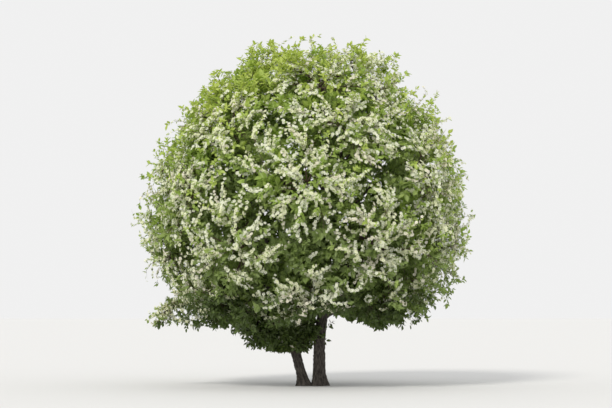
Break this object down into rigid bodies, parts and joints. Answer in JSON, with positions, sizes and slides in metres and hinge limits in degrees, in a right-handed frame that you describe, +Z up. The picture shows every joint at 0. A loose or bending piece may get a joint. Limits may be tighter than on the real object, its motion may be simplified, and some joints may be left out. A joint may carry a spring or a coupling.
{
  "type": "cherry blossom tree",
  "caption": "Flowering cherry tree in fresh leaf: two low-forking stems from one root flare, and a round dense crown of white blossom.",
  "frame": {"origin": "in the flat cut at ground level, between the two stems' feet", "axes": "+Z up, -Y towards the viewer of the picture, +X to that viewer's right"},
  "size_m": [7.2626, 7.0207, 7.4505],
  "materials": {
    "old_bark": "rough, furrowed, nearly black",
    "young_bark": "matte, ringed with pores",
    "foliage": "matte leaves and creamy white petals"
  },
  "bodies": {
    "root": {"bough_hanging": "young_bark", "bough_high_1": "young_bark", "bough_high_2": "young_bark", "bough_high_4": "young_bark", "bough_high_5": "young_bark", "bough_low_1": "young_bark", "bough_low_2": "young_bark", "bough_low_3": "young_bark", "bough_low_4": "young_bark", "bough_low_5": "young_bark", "bough_low_6": "young_bark", "bough_middle_1": "young_bark", "bough_middle_2": "young_bark", "bough_middle_3": "young_bark", "bough_middle_4": "young_bark", "bough_middle_5": "young_bark", "bough_middle_6": "young_bark", "bough_skirt_1": "young_bark", "bough_skirt_2": "young_bark", "bough_skirt_3": "young_bark", "bough_skirt_4": "young_bark", "bough_skirt_5": "young_bark", "bough_skirt_6": "young_bark", "bough_spray": "young_bark", "bough_top_1": "young_bark", "bough_top_2": "young_bark", "bough_top_3": "young_bark", "foliage_hanging": "foliage", "foliage_high_1": "foliage", "foliage_high_2": "foliage", "foliage_high_3": "foliage", "foliage_high_4": "foliage", "foliage_high_5": "foliage", "foliage_low_1": "foliage", "foliage_low_2": "foliage", "foliage_low_3": "foliage", "foliage_low_4": "foliage", "foliage_low_5": "foliage", "foliage_low_6": "foliage", "foliage_middle_1": "foliage", "foliage_middle_2": "foliage", "foliage_middle_3": "foliage", "foliage_middle_4": "foliage", "foliage_middle_5": "foliage", "foliage_middle_6": "foliage", "foliage_skirt_1": "foliage", "foliage_skirt_2": "foliage", "foliage_skirt_3": "foliage", "foliage_skirt_4": "foliage", "foliage_skirt_5": "foliage", "foliage_skirt_6": "foliage", "foliage_spray": "foliage", "foliage_top_1": "foliage", "foliage_top_2": "foliage", "foliage_top_3": "foliage", "foliage_top_4": "foliage", "left_stem": "old_bark", "right_stem": "old_bark", "root_flare": "old_bark"}
  },
  "joints": []
}
